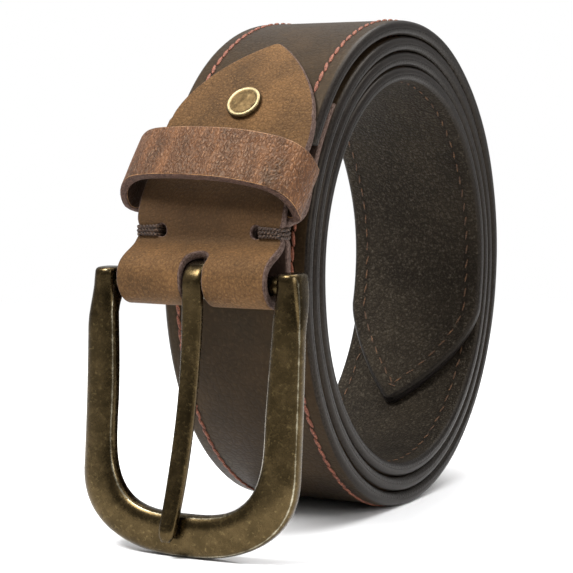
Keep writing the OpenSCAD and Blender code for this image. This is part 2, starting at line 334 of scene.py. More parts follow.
def leatherFinish(name, look):
    r = Recipe(bpy.data.materials.new(name))
    flat = r.attribute("flat", "Vector")
    rim, side = r.attribute("rim"), r.attribute("side")
    patches = r.clouds(flat, look["patchScale"], 4.0, 0.6, look.get("patchStretch"))
    tones = [(0.3, look["dark"]), (0.52, look["mid"]), (0.74, look["light"])]
    colour = r.add("ShaderNodeValToRGB", {"stops": tones}, {"Fac": patches})
    grain = r.clouds(flat, look["speckScale"], 3.0, 0.7)
    colour = r.mix(grain.soft(0.5, 0.72) * look["speckAmount"], colour, look["speck"])
    colour = r.mix((1 - grain).soft(0.5, 0.75) * look["pitAmount"], colour, look["pit"])
    scale = look["pebbleScale"]
    sway = r.add("ShaderNodeTexNoise", {}, {"Vector": flat, "Scale": scale * 0.6}, "Color")
    sway = r.add("ShaderNodeVectorMath", {"operation": "SCALE"}, {0: sway, "Scale": 0.6 / scale})
    bent = r.add("ShaderNodeVectorMath", {"operation": "ADD"}, {0: flat, 1: sway})
    cells = r.pebbles(bent, scale, look.get("pebbleStretch"))
    creases = 1 - cells.soft(0.0, look["creaseWidth"])
    colour = r.mix(creases * look["creaseDark"], colour, look["pit"])
    if "back" in look:
        colour = r.mix(side.soft(0.55, 0.95), colour, look["back"])
    if "paintedShade" in look:  # shade painted on between the lacing and the keeper
        along = r.part(flat, "Y")
        lowStart, lowEnd, highStart, highEnd = look["paintedShade"]
        band = (along + (patches - 0.5) * 0.006).soft(lowStart, lowEnd)
        band = band * (1 - along.soft(highStart, highEnd))
        colour = r.mix(band * 0.62, colour, look["pit"])
    if "seam" in look:  # pressed line under the stitches
        x = r.part(flat, "X")
        line = 1 - abs(abs(x) - look["seam"] * mm).soft(0.0004, 0.0011)
        colour = r.mix(line * 0.45 * (1 - rim), colour, look["pit"])
    fibres = r.clouds(flat, 1500, 2.0, 0.7, (1.0, 1.0, 3.0))
    edgeColour = r.mix(fibres.soft(0.35, 0.7), look["rim"], look["rimLight"])
    ripples = r.clouds(flat, 140, 3.0, 0.5)
    mask = (rim + (ripples - 0.5) * 0.5).soft(look.get("rimFrom", 0.35), look.get("rimTo", 0.85))
    colour = r.mix(mask, colour, edgeColour)
    if "wearAndHighlight" in look:  # lighter just inside the edge, partly rubbed wear and partly a painted highlight
        rubAndHighlight = rim.soft(0.02, 0.3) * (1 - rim.soft(0.35, 0.7)) * ripples.soft(0.35, 0.6)
        colour = r.mix(rubAndHighlight * 0.8, colour, look["wearAndHighlight"])
    height = cells.soft(0.0, look["creaseWidth"] * 1.6) * look["pebbleHeight"] + grain * look["grainHeight"]
    height = height * (1 - mask * 0.75) + ripples * 0.3
    rough = (1 - mask) * (look["rough"] + (patches - 0.5) * look["roughSpread"] + creases * 0.08) \
        + mask * (look["rimRough"] + (fibres - 0.5) * 0.2)
    return r.finish({"Specular IOR Level": look["specular"], "Specular Tint": warmShine},
                    Base_Color=colour, Roughness=rough, Normal=r.relief(height, look["relief"], 0.00025))


def metalFinish(name, look):
    r = Recipe(bpy.data.materials.new(name))
    where = r.add("ShaderNodeTexCoord", {}, {}, "Object")
    worn = r.attribute("worn")
    patina = r.clouds(where, look["patinaScale"], 5.0, 0.62)
    tones = [(0.32, look["dark"]), (0.5, look["mid"]), (0.68, look["light"])]
    colour = r.add("ShaderNodeValToRGB", {"stops": tones}, {"Fac": patina})
    dust = r.clouds(where, 1100, 3.0, 0.7)
    colour = r.mix(dust.soft(0.55, 0.75) * look["dustAmount"], colour, look["dust"])
    rubbed = (worn * 1.15 + (patina - 0.5) * 0.6 + (dust - 0.5) * 0.3).soft(0.45, 0.95)
    colour = r.mix(rubbed, colour, look["bright"])
    pits = r.clouds(where, 420, 4.0, 0.6)
    height = pits * 0.5 + dust * 0.25
    rough = look["rough"] + (patina - 0.5) * 0.1 + (dust - 0.5) * 0.12 - rubbed * 0.05
    return r.finish({"Metallic": 1.0}, Base_Color=colour, Roughness=rough,
                    Normal=r.relief(height, 0.22, 0.0002))


def threadFinish(name, look):
    r = Recipe(bpy.data.materials.new(name))
    where = r.add("ShaderNodeTexCoord", {}, {}, "Object")
    hairs = r.clouds(where, 2600, 2.0, 0.7)
    shade = r.clouds(where, 180, 2.0, 0.5)
    colour = r.mix(hairs.soft(0.4, 0.7), look["dark"], look["light"])
    colour = r.mix(shade.soft(0.45, 0.7) * 0.5, colour, look["worn"])
    return r.finish({"Specular IOR Level": 0.3}, Base_Color=colour, Roughness=0.55 + (hairs - 0.5) * 0.3,
                    Normal=r.relief(hairs, 0.5, 0.00012))


strapLook = {
    "dark": tone(33, 25, 16), "mid": tone(46, 35, 23), "light": tone(61, 47, 32),
    "patchScale": 45, "speck": tone(90, 71, 48), "speckScale": 900, "speckAmount": 0.22,
    "pit": tone(26, 18, 13), "pitAmount": 0.35, "pebbleScale": 620, "creaseWidth": 0.12, "creaseDark": 0.12,
    "pebbleHeight": 0.35, "grainHeight": 0.3, "relief": 0.3, "rough": 0.42, "roughSpread": 0.25,
    "back": tone(36, 25, 18), "seam": 15.0, "rim": tone(17, 15, 15), "rimLight": tone(40, 36, 34),
    "rimRough": 0.34, "specular": 0.14,
}
liningLook = {
    "dark": tone(24, 20, 16), "mid": tone(36, 31, 25), "light": tone(47, 41, 33),
    "patchScale": 60, "speck": tone(90, 83, 72), "speckScale": 1400, "speckAmount": 0.55,
    "pit": tone(11, 9, 8), "pitAmount": 0.6, "pebbleScale": 900, "creaseWidth": 0.16, "creaseDark": 0.5,
    "pebbleHeight": 0.9, "grainHeight": 0.5, "relief": 0.6, "rough": 0.55, "roughSpread": 0.2,
    "seam": 15.0, "rim": tone(15, 13, 13), "rimLight": tone(36, 33, 31), "rimRough": 0.38, "specular": 0.14,
}
tabLook = {
    "dark": tone(66, 46, 26), "mid": tone(90, 64, 38), "light": tone(112, 81, 49),
    "patchScale": 70, "speck": tone(134, 100, 62), "speckScale": 1700, "speckAmount": 0.5,
    "pit": tone(42, 29, 19), "pitAmount": 0.6, "pebbleScale": 950, "creaseWidth": 0.14, "creaseDark": 0.3,
    "pebbleHeight": 0.5, "grainHeight": 0.8, "relief": 0.5, "rough": 0.68, "roughSpread": 0.16,
    "back": tone(58, 44, 38), "rim": tone(56, 42, 38), "rimLight": tone(106, 88, 80),
    "rimRough": 0.85, "specular": 0.2, "rimFrom": 0.3, "rimTo": 0.7,
    # where along the tab, in metres, the painted shade between the lacing and the keeper starts and ends
    "paintedShade": (0.0735, 0.081, 0.094, 0.102),
}
keeperLook = {
    "dark": tone(54, 34, 21), "mid": tone(84, 53, 33), "light": tone(120, 80, 51),
    "patchScale": 200, "patchStretch": (0.4, 1.3, 1.0), "speck": tone(160, 114, 78), "speckScale": 1500,
    "speckAmount": 0.5, "pit": tone(56, 33, 23), "pitAmount": 0.5, "pebbleScale": 1500,
    "pebbleStretch": (0.42, 1.0, 1.0), "creaseWidth": 0.2, "creaseDark": 0.42, "pebbleHeight": 0.9,
    "grainHeight": 0.6, "relief": 0.75, "rough": 0.42, "roughSpread": 0.25, "back": tone(40, 26, 19),
    # the wear colour just inside the keeper's edges is partly a painted highlight
    "rim": tone(38, 23, 20), "rimLight": tone(84, 62, 54), "rimRough": 0.8, "wearAndHighlight": tone(184, 138, 92),
    "specular": 0.34,
}
buckleLook = {
    "dark": tone(60, 50, 32), "mid": tone(72, 60, 39), "light": tone(86, 72, 48), "patinaScale": 240,
    "dust": tone(140, 122, 84), "dustAmount": 0.45, "bright": tone(190, 184, 162), "rough": 0.27,
}
rivetLook = dict(buckleLook, dark=tone(58, 46, 29), mid=tone(78, 63, 41), light=tone(100, 82, 55),
                 patinaScale=700, bright=tone(152, 136, 102), rough=0.5)

strapLeather = leatherFinish("oiledStrapLeather", strapLook)
liningLeather = leatherFinish("pebbledLiningLeather", liningLook)
tabLeather = leatherFinish("speckledTabLeather", tabLook)
keeperLeather = leatherFinish("wrinkledKeeperLeather", keeperLook)
antiqueBrass = metalFinish("antiqueBrass", buckleLook)
rivetBrass = metalFinish("rivetBrass", rivetLook)
stapleSteel = metalFinish("stapleSteel", dict(buckleLook, dark=tone(110, 110, 108), mid=tone(140, 140, 138),
                                              light=tone(170, 170, 168), dust=tone(190, 190, 188)))
redThread = threadFinish("redBrownThread", {"dark": tone(88, 48, 36), "light": tone(158, 98, 72),
                                           "worn": tone(126, 72, 53)})
brownThread = threadFinish("brownThread", {"dark": tone(52, 34, 21), "light": tone(114, 80, 50),
                                          "worn": tone(78, 55, 37)})
laceCord = threadFinish("darkLaceCord", {"dark": tone(30, 21, 17), "light": tone(98, 76, 60),
                                        "worn": tone(46, 34, 28)})
print("finishes made")

# strap

strap = {"tipLength": 31.0, "seamInset": 4.0, "faceEdge": 1.35, "liningEdge": 1.25, "jointEdge": 0.08,
         "gridAcross": 3.4, "gridAlong": 2.2,
         "holes": 5, "holeStep": 25.0, "holeFirst": 115.0, "holeRadius": 2.3}

angles = np.arange(coil["start"], coil["end"] + 0.01, 0.5)
lengths = runLengths([coilPoint(a, coil["face"]) for a in angles])
strapLength = float(lengths[-1])


def angleAt(s):  # lengths beyond either end run on at the end's own rate
    if s < 0:
        return coil["start"] + s / 1.08
    if s > strapLength:
        return coil["end"] + (s - strapLength) / 0.85
    return float(np.interp(s, lengths, angles))


def strapPlace(below):
    def place(x, s, d):
        a = angleAt(s)
        p = coilPoint(a, below + d)
        p.x = x + 0.25 * math.sin(a * 0.021) + wobble(s, x * 0.1, 22, 0.12, 3.0)
        return p
    return place


def stretchOf(start, end, step):
    n = max(1, int(round((end - start) / step)))
    return [start + (end - start) * i / n for i in range(n)]


def strapOutline():
    half, base = coil["width"] / 2, strapLength - strap["tipLength"]
    right = [Vector((half, s)) for s in stretchOf(0, base, 2.0)]
    steps = [(i / 22) ** 1.35 for i in range(22)]
    arch = [Vector((half * (1 - k), strap["tipLength"] * k ** (2 / 3) + base)) for k in steps]
    tip = [Vector((x, strapLength - back)) for x, back in ((1.5, 1.64), (0, 1.0), (-1.5, 1.64))]
    arch = [p for p in arch if p.x > 2.3]
    left = [Vector((-p.x, p.y)) for p in reversed(arch)] + [Vector((-p.x, p.y)) for p in reversed(right)]
    return right + arch + tip + left


def circleHole(x, s, r, n=24):  # clockwise, so that the leather stays on its left
    turns = [2 * math.pi * k / n for k in range(n)]
    return [Vector((x + r * math.cos(t), s - r * math.sin(t))) for t in turns]


tipRadius = coil["radius"] - coil["pitch"] * (coil["end"] - 18) / 360
holeAngles = [coil["end"] - math.degrees(strap["holeFirst"] / tipRadius)
              - i * math.degrees(strap["holeStep"] / (tipRadius + 1)) for i in range(strap["holes"])]
strapHoles = [circleHole(0, float(np.interp(a, angles, lengths)), strap["holeRadius"]) for a in holeAngles]
outline = strapOutline()
grid = (strap["gridAcross"], strap["gridAlong"])
strapFace = cutLeather("strapFace", [outline] + strapHoles, strapPlace(0.0), coil["face"],
                       (strap["faceEdge"], strap["jointEdge"]), grid, strapLeather)
strapLining = cutLeather("strapLining", [outline] + strapHoles, strapPlace(coil["face"]), coil["lining"],
                         (strap["jointEdge"], strap["liningEdge"]), grid, liningLeather)
for piece, node, slot in ((strapFace, "strap_face", "strap_leather"),
                          (strapLining, "strap_lining", "lining_leather")):
    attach(piece, "belt")
    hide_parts(node)
print("strap made", len(strapFace.data.polygons), "faces in the outer layer")

# stitching

faceSeam = {"pitch": 3.4, "length": 3.9, "width": 0.95, "height": 0.75, "slant": 0.17, "jitter": 0.07}
liningSeam = {"pitch": 3.9, "length": 2.7, "width": 0.45, "height": 0.3, "slant": -0.12, "jitter": 0.15}


def stitchTree(material):  # one thread stitch on each step of a guide line
    tree = bpy.data.node_groups.new("stitchRow", "GeometryNodeTree")
    sockets = {}
    tree.interface.new_socket("Geometry", in_out="INPUT", socket_type="NodeSocketGeometry")
    for name in ("pitch", "length", "width", "height", "slant", "jitter"):
        made = tree.interface.new_socket(name, in_out="INPUT", socket_type="NodeSocketFloat")
        sockets[name] = made.identifier
    tree.interface.new_socket("Geometry", in_out="OUTPUT", socket_type="NodeSocketGeometry")

    def add(kind, settings=None, links=None):
        node = tree.nodes.new(kind)
        for key, value in (settings or {}).items():
            setattr(node, key, value)
        for key, value in (links or {}).items():
            if isinstance(value, bpy.types.NodeSocket):
                tree.links.new(value, node.inputs[key])
            else:
                node.inputs[key].default_value = value
        return node

    given = add("NodeGroupInput")
    line = add("GeometryNodeMeshToCurve", {}, {"Mesh": given.outputs["Geometry"]})
    steps = add("GeometryNodeResampleCurve", {"mode": "LENGTH"},
                {"Curve": line.outputs[0], "Length": given.outputs["pitch"]})
    up = add("GeometryNodeInputNamedAttribute", {"data_type": "FLOAT_VECTOR"}, {"Name": "up"})
    along = add("FunctionNodeAlignRotationToVector", {"axis": "X"},
                {"Vector": add("GeometryNodeInputTangent").outputs[0]})
    upright = add("FunctionNodeAlignRotationToVector", {"axis": "Z", "pivot_axis": "X"},
                  {"Rotation": along.outputs[0], "Vector": up.outputs[0]})
    chance = add("FunctionNodeRandomValue", {"data_type": "FLOAT"}, {2: -1.0, 3: 1.0, "Seed": 7})
    lean = add("ShaderNodeMath", {"operation": "MULTIPLY_ADD"},
               {0: chance.outputs[1], 1: given.outputs["jitter"], 2: given.outputs["slant"]})
    turn = add("ShaderNodeCombineXYZ", {}, {"Z": lean.outputs[0]})
    euler = add("FunctionNodeEulerToRotation", {}, {0: turn.outputs[0]})
    rotation = add("FunctionNodeRotateRotation", {"rotation_space": "LOCAL"},
                   {0: upright.outputs[0], 1: euler.outputs[0]})
    size = add("ShaderNodeCombineXYZ", {}, {"X": given.outputs["length"], "Y": given.outputs["width"],
                                            "Z": given.outputs["height"]})
    ball = add("GeometryNodeMeshUVSphere", {}, {"Segments": 8, "Rings": 6, "Radius": 0.5})
    stitch = add("GeometryNodeTransform", {}, {"Geometry": ball.outputs[0], "Scale": size.outputs[0]})
    placed = add("GeometryNodeInstanceOnPoints", {}, {
        "Points": steps.outputs[0], "Instance": stitch.outputs[0], "Rotation": rotation.outputs[0]})
    real = add("GeometryNodeRealizeInstances", {}, {0: placed.outputs[0]})
    smooth = add("GeometryNodeSetShadeSmooth", {}, {"Geometry": real.outputs[0]})
    painted = add("GeometryNodeSetMaterial", {}, {"Geometry": smooth.outputs[0], "Material": material})
    add("NodeGroupOutput", {}, {"Geometry": painted.outputs[0]})
    return tree, sockets


def sewRow(name, place, depth, outward, seam, material):
    path = [p for p in insetLoop(outline, strap["seamInset"]) if 7 < p.y]
    points = [place(p.x, p.y, depth) for p in path]
    ups = [(place(p.x, p.y, depth - outward * 0.5) - q).normalized() for p, q in zip(path, points)]
    mesh = bpy.data.meshes.new(name)
    mesh.from_pydata([tuple(p * mm) for p in points], [(i, i + 1) for i in range(len(points) - 1)], [])
    layer = mesh.attributes.new("up", "FLOAT_VECTOR", "POINT")
    layer.data.foreach_set("vector", np.array([tuple(u) for u in ups], np.float32).ravel())
    guide = bpy.data.objects.new(name + "Guide", mesh)
    bpy.context.scene.collection.objects.link(guide)
    tree, sockets = stitchTree(material)
    rows = guide.modifiers.new("stitches", "NODES")
    rows.node_group = tree
    for key, identifier in sockets.items():
        rows[identifier] = seam[key] * (1 if key in ("slant", "jitter") else mm)
    made = bpy.data.meshes.new_from_object(guide.evaluated_get(bpy.context.evaluated_depsgraph_get()))
    bpy.data.objects.remove(guide)
    obj = bpy.data.objects.new(name, made)
    bpy.context.scene.collection.objects.link(obj)
    return obj


faceStitches = sewRow("faceStitches", strapPlace(0.0), -0.02, 1, faceSeam, redThread)
liningStitches = sewRow("liningStitches", strapPlace(coil["face"]), coil["lining"] + 0.02, -1,
                        liningSeam, brownThread)
for piece, node in ((faceStitches, "face_thread"), (liningStitches, "lining_thread")):
    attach(piece, "belt")
    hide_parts(node)
print("stitches sewn", len(faceStitches.data.polygons))

# buckle tab

tab = {"thick": 2.0, "backThick": 1.3, "topAngle": 56.5, "rivetAngle": 37.5,
       "archLength": 25.0, "archWidth": 37.0,
       "foldY": 1.3, "foldZ": 1.1, "foldRadius": 5.35, "laceY": 4.6, "laceZ": 11.2, "laceX": 12.2,
       "slotWidth": 5.5, "slotTop": 6.2, "slotX": 0.35, "edge": 0.5, "gap": 0.1, "seamRoom": 0.2,
       "notchDeep": 0.95, "notchLong": 1.5, "bulgeOut": 0.9, "bulgeLong": 6.0, "bulgeBefore": 5.0}


def bezier(p0, p1, p2, p3, count):
    return [p0 * (1 - t) ** 3 + p1 * 3 * t * (1 - t) ** 2 + p2 * 3 * t * t * (1 - t) + p3 * t ** 3
            for t in (i / count for i in range(1, count + 1))]


def tabPath():  # middle of the leather from its hidden back end, round the fold and up to the point
    foldCentre = hinge + Vector((0, tab["foldY"], tab["foldZ"]))
    lace = hinge + Vector((0, tab["laceY"], tab["laceZ"]))
    half, step = tab["thick"] / 2, tab["thick"] + tab["gap"]

    def onFold(a):
        return foldCentre + tab["foldRadius"] * around(a)

    up, down = Vector((0, 0, 1)), Vector((0, 0, -1))
    backEnd = [coilPoint(a, -(0.7 + tab["backThick"] / 2)) for a in np.arange(404, 377.9, -2)]
    backDown = (backEnd[-1] - backEnd[-2]).normalized()
    backLace = lace + Vector((0, step, 1.2))
    path = backEnd + bezier(backEnd[-1], backEnd[-1] + backDown * 6, backLace + up * 2.5, backLace, 9)
    low = lace + Vector((0, step, -1.2))
    path += [low] + bezier(low, low + down * 3, onFold(10) + up * 3, onFold(10), 6)
    path += [onFold(a) for a in range(-5, -201, -15)]
    front = lace + Vector((0, 0, -1.2))
    tangent = 3.4 * around(70)
    path += bezier(onFold(-200), onFold(-200) + tangent, front + down * 3.4, front, 7)
    onTop = -(tab["seamRoom"] + half)
    topStart = coilPoint(coil["start"], onTop)
    topDown = (topStart - coilPoint(coil["start"] + 1, onTop)).normalized()
    high = lace + Vector((0, 0, 1.2))
    path += [high] + bezier(high, high + up * 7, topStart + topDown * 8, topStart, 12)
    path += [coilPoint(a, onTop) for a in np.arange(coil["start"] + 2, tab["topAngle"] + 2.1, 2)]
    return path


tabPoints = tabPath()
tabLengths = runLengths(tabPoints)
tabYs = np.array([p.y for p in tabPoints])
tabZs = np.array([p.z for p in tabPoints])
frontTop = int(np.argmin(tabYs))  # the most forward point parts the back from the front


def tabLengthAt(z, front):
    pick = range(frontTop, len(tabPoints)) if front else range(frontTop, 0, -1)
    for i in pick:
        j = i + (1 if front else -1)
        if (tabZs[i] - z) * (tabZs[j] - z) <= 0 and (front or tabYs[i] > hinge.y):
            t = (z - tabZs[i]) / (tabZs[j] - tabZs[i] + 1e-9)
            return float(tabLengths[i] + t * (tabLengths[j] - tabLengths[i]))
    return 0.0


def tabThick(s):
    return tab["backThick"] + (tab["thick"] - tab["backThick"]) * ease(s / 30)


def tabMiddle(s):
    return Vector((0, float(np.interp(s, tabLengths, tabYs)), float(np.interp(s, tabLengths, tabZs))))


def tabPlace(x, s, d):
    before, after = tabMiddle(max(s - 1.6, 0)), tabMiddle(min(s + 1.6, float(tabLengths[-1])))
    along = (after - before).normalized()
    out = Vector((0, along.z * -1, along.y))  # the leather's outer side
    smoothed = (tabMiddle(max(s - 0.8, 0)) + tabMiddle(s) * 2 + tabMiddle(s + 0.8)) / 4
    p = smoothed + out * (tabThick(s) / 2 - d + wobble(x, s, 14, 0.12, 9.0))
    p.x = x
    return p


laceFront = tabLengthAt(hinge.z + tab["laceZ"], True)
laceBack = tabLengthAt(hinge.z + tab["laceZ"], False)
slotFront = tabLengthAt(hinge.z + tab["slotTop"], True)
slotBack = tabLengthAt(hinge.z + tab["slotTop"], False)
apex = float(tabLengths[-1]) - 1.1
archBase = apex - tab["archLength"]


def tabHalfWidth(s):
    half = coil["width"] / 2 - 0.1
    half -= (coil["width"] / 2 - tab["archWidth"] / 2) * ease((s - archBase + 14) / 12)
    for middle in (laceFront, laceBack):
        half -= tab["notchDeep"] * math.exp(-((s - middle) / tab["notchLong"]) ** 2)
    half += tab["bulgeOut"] * math.exp(-((s - archBase + tab["bulgeBefore"]) / tab["bulgeLong"]) ** 2)
    return half + wobble(s, 0, 16, 0.12, 5.0)


def tabOutline():
    start = 1.5
    right = [Vector((tabHalfWidth(s), s)) for s in stretchOf(start, archBase, 0.8)]
    half, arch = tab["archWidth"] / 2, []
    for i in range(30):
        u = 1 - (i / 30) ** 1.4
        arch.append(Vector((half * u, archBase + tab["archLength"] * (1 - u ** 1.1) ** (2 / 3))))
    arch = [p for p in arch if p.y < apex - 0.9]
    tip = [Vector((0.9, apex - 0.6)), Vector((0, apex - 0.35)), Vector((-0.9, apex - 0.6))]
    left = [Vector((-p.x, p.y)) for p in reversed(arch)] + [Vector((-p.x, p.y)) for p in reversed(right)]
    return right + arch + tip + left


def stretchDown(start, end, step):
    n = max(1, int(round((start - end) / step)))
    return [start + (end - start) * i / n for i in range(1, n)]


def slotLoop(x, s0, s1, r, n=10):  # clockwise, with its long sides cut short enough to bend
    def halfTurn(middle, way):
        turns = [math.pi * k / n for k in range(n + 1)]
        return [Vector((x - way * r * math.cos(t), middle + way * r * math.sin(t))) for t in turns]

    top, low = halfTurn(s1 - r, 1), halfTurn(s0 + r, -1)
    down = [Vector((x + r, s)) for s in stretchDown(s1 - r, s0 + r, 0.9)]
    rise = [Vector((x - r, s)) for s in reversed(stretchDown(s1 - r, s0 + r, 0.9))]
    return top + down + low + rise


tabHoles = [slotLoop(tab["slotX"], slotBack, slotFront, tab["slotWidth"] / 2)]
tabHoles += [slotLoop(side * tab["laceX"], s - 1.45, s + 1.45, 1.2, 6)
             for side in (-1, 1) for s in (laceFront, laceBack)]
buckleTab = cutLeather("buckleTab", [tabOutline()] + tabHoles, tabPlace, tabThick,
                       (tab["edge"], tab["edge"]), (1.3, 1.1), tabLeather, 3)
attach(buckleTab, "belt")
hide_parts("buckle_tab")
print("tab made", len(buckleTab.data.polygons), "faces")

# lacing

lacing = {"turns": 3, "rise": 0.86, "ply": 0.27, "twist": 0.24, "twistPitch": 1.7,
          "inner": 13.1, "fromEdge": 0.75, "rounding": 0.75, "front": 0.35}


def laceStrand(side, level, phase):
    y0 = hinge.y + tab["laceY"] - tab["thick"] / 2 - lacing["front"]
    y1 = y0 + 2 * tab["thick"] + tab["gap"] + 2 * lacing["front"]
    x0, x1 = lacing["inner"], coil["width"] / 2 - lacing["fromEdge"]
    z = hinge.z + tab["laceZ"] + level
    corners = [(x0, (y0 + y1) / 2), (x0, y0), (x1, y0), (x1, y1), (x0, y1), (x0, (y0 + y1) / 2)]
    rounding, path = lacing["rounding"], []
    for i in range(1, len(corners) - 1):
        a, b, c = (Vector(corners[k]) for k in (i - 1, i, i + 1))
        p, q = b + (a - b).normalized() * rounding, b + (c - b).normalized() * rounding
        for k in range(9):
            t = k / 8
            path.append(p * (1 - t) ** 2 + b * 2 * t * (1 - t) + q * t * t)
    path = [Vector(corners[0])] + path + [Vector(corners[-1])]
    dense = []
    for a, b in zip(path[:-1], path[1:]):
        n = max(1, int((b - a).length / 0.12))
        dense += [a.lerp(b, k / n) for k in range(n)]
    strand, travelled = [], 0.0
    for i, p in enumerate(dense):
        d = (dense[min(i + 1, len(dense) - 1)] - dense[max(i - 1, 0)]).normalized()
        travelled += (p - dense[i - 1]).length if i else 0
        t = 2 * math.pi * travelled / lacing["twistPitch"] + phase
        out = Vector((d.y, -d.x))
        sag = 0.12 * math.sin(travelled * 0.5 + level)
        strand.append(Vector((side * (p.x + out.x * lacing["twist"] * math.cos(t)),
                              p.y + out.y * lacing["twist"] * math.cos(t),
                              z + sag + lacing["twist"] * math.sin(t))))
    return tube(strand, lacing["ply"], 8)


for side, name, node in ((-1, "lacingLeft", "lacing_left"), (1, "lacingRight", "lacing_right")):
    parts = []
    for turn in range(lacing["turns"]):
        level = (turn - (lacing["turns"] - 1) / 2) * lacing["rise"]
        parts += [laceStrand(side, level, phase) for phase in (turn * 1.3, turn * 1.3 + math.pi)]
    verts, faces = joinParts(parts)
    if side > 0:
        faces = [tuple(reversed(f)) for f in faces]
    piece = makeObject(name, verts, faces, laceCord)
    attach(piece, "belt")
    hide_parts(node)
print("lacing made")

# keeper

keeper = {"width": 13.0, "thick": 1.9, "outer": 46.6, "room": 7.5, "behind": 2.8, "tilt": 33.0, "skew": 4.2,
          "y": 9.5, "z": 24.0, "edge": 0.4, "sag": 3.6, "sagFrom": 14.0, "sagOver": 7.0, "sagRight": 0.6}


def keeperLoop():  # middle of the leather, from the joint behind, round both ends and back
    half = keeper["outer"] / 2 - keeper["thick"] / 2
    front, back = keeper["room"] + keeper["thick"] / 2, keeper["behind"] + keeper["thick"] / 2

    def at(a):
        c, s = math.cos(math.radians(a)), math.sin(math.radians(a))
        bend = 0.8 if s >= 0 else 0.35
        x = half * math.copysign(abs(c) ** bend, c)
        y = -front * abs(s) ** 0.8 if s >= 0 else back * abs(s) ** 0.5
        return Vector((x, y))

    raw = [at(a) for a in np.arange(-90, 270.5, 1.0)]
    for _ in range(14):  # evens out the tight ends
        inner = [(a + b * 2 + c) / 4 for a, b, c in zip(raw, raw[1:], raw[2:])]
        raw = [raw[0]] + inner + [raw[-1]]
    return raw


keeperPoints = keeperLoop()
keeperLengths = runLengths(keeperPoints)
keeperXs, keeperYs = np.array([p.x for p in keeperPoints]), np.array([p.y for p in keeperPoints])
onKeeper = Matrix.Translation(Vector((0, hinge.y + keeper["y"], hinge.z + keeper["z"]))) \
    @ Matrix.Rotation(math.radians(-keeper["tilt"]), 4, "X") \
    @ Matrix.Rotation(math.radians(keeper["skew"]), 4, "Y")


def keeperPlace(x, s, d):
    def middle(at):
        across, deep = (float(np.interp(at, keeperLengths, values)) for values in (keeperXs, keeperYs))
        return Vector((across, deep))

    along = (middle(s + 1.0) - middle(s - 1.0)).normalized()
    out = Vector((-along.y, along.x))
    p = middle(s) + out * (keeper["thick"] / 2 - d + wobble(x, s, 9, 0.16, 2.0))
    sag = keeper["sag"] * ease((abs(p.x) - keeper["sagFrom"]) / keeper["sagOver"])  # both ends hang a little
    sag *= ease((p.y + 8) / 10)
    sag *= 1.0 if p.x < 0 else keeper["sagRight"]
    return onKeeper @ Vector((p.x, p.y, x + wobble(s, 0, 18, 0.35, 6.0) - sag))


keeperLength = float(keeperLengths[-1])
wide = keeper["width"] / 2
near, far = 0.05, keeperLength - 0.05  # the ends meet behind with a hair between them
strip = [Vector((x, near)) for x in stretchOf(-wide, wide, 1.2)]
strip += [Vector((wide, s)) for s in stretchOf(near, far, 1.0)]
strip += [Vector((wide - k * 1.2, far)) for k in range(11)]
strip += [Vector((-wide, s)) for s in [far] + stretchDown(far, near, 1.0)]
keeperBand = cutLeather("keeperBand", [strip], keeperPlace, keeper["thick"],
                        (keeper["edge"], keeper["edge"]), (1.1, 1.0), keeperLeather, 3)
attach(keeperBand, "belt")
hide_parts("keeper")
print("keeper made", len(keeperBand.data.polygons))

# rivet

rivet = {"profile": [(0.0, 0.98), (1.2, 0.97), (2.4, 0.93), (3.0, 0.86), (3.25, 0.86), (3.5, 1.0),
                     (3.75, 1.06), (4.0, 0.98), (4.2, 0.75), (4.3, 0.4), (4.28, 0.05), (4.1, -0.12),
                     (2.0, -0.15)], "lift": 0.15}  # radius and height, from the middle out
turnOut = Matrix.Rotation(math.radians(90 - tab["rivetAngle"]), 4, "X")
onRivet = Matrix.Translation(coilPoint(tab["rivetAngle"], 0)) @ turnOut \
    @ Matrix.Translation((0, 0, tab["thick"] + tab["seamRoom"] + rivet["lift"]))
rings, wornRows = [], []
for radius, height in rivet["profile"]:
    ring = []
    for k in range(56):
        t = 2 * math.pi * k / 56
        x, y = math.cos(t), math.sin(t)
        dent = wobble(radius * x, radius * y, 1.6, 0.05, 4.0)
        spread = max(radius, 0.02)
        ring.append(onRivet @ Vector((spread * x, spread * y, height + dent)))
    rings.append(ring)
    wornRows += [1.0 if 3.4 < radius < 4.15 and height > 0.7 else 0.35] * 56
verts, faces = loft(rings)
faces = [tuple(reversed(f)) for f in faces]
rivetCap = makeObject("rivetCap", verts, faces, rivetBrass, {"worn": wornRows + [0.35, 0.35]})
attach(rivetCap, "belt")
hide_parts("rivet_cap")

for node, material in (("rivet_base", rivetBrass), ("keeper_staple", stapleSteel)):
    part = frame["nodes"][node]
    part.data.materials.clear()
    part.data.materials.append(material)
print("rivet made")

# buckle frame and prong

buckle = {"outer": 54.8, "window": 41.0, "toe": 9.6, "cornerHigh": 18.5, "cornerPower": 2.3,
          "windowHigh": 19.8, "windowPower": 3.1, "thick": 4.2, "top": 3.1, "forward": 2.6,
          "reach": 5.4, "barRadius": 2.2, "ear": 2.9,
          "shoulder": 1.2, "taper": 1.2}
prong = {"width": 4.4, "thick": 2.6, "lean": 2.3, "offset": 0.5, "reach": 8.1, "tip": 3.9, "clear": 0.1}
frameTop = hinge.z + buckle["top"]


def frameMiddle(z):
    return hinge.y - buckle["forward"] - buckle["reach"] * (max(0, frameTop - z) / frameTop) ** 1.8


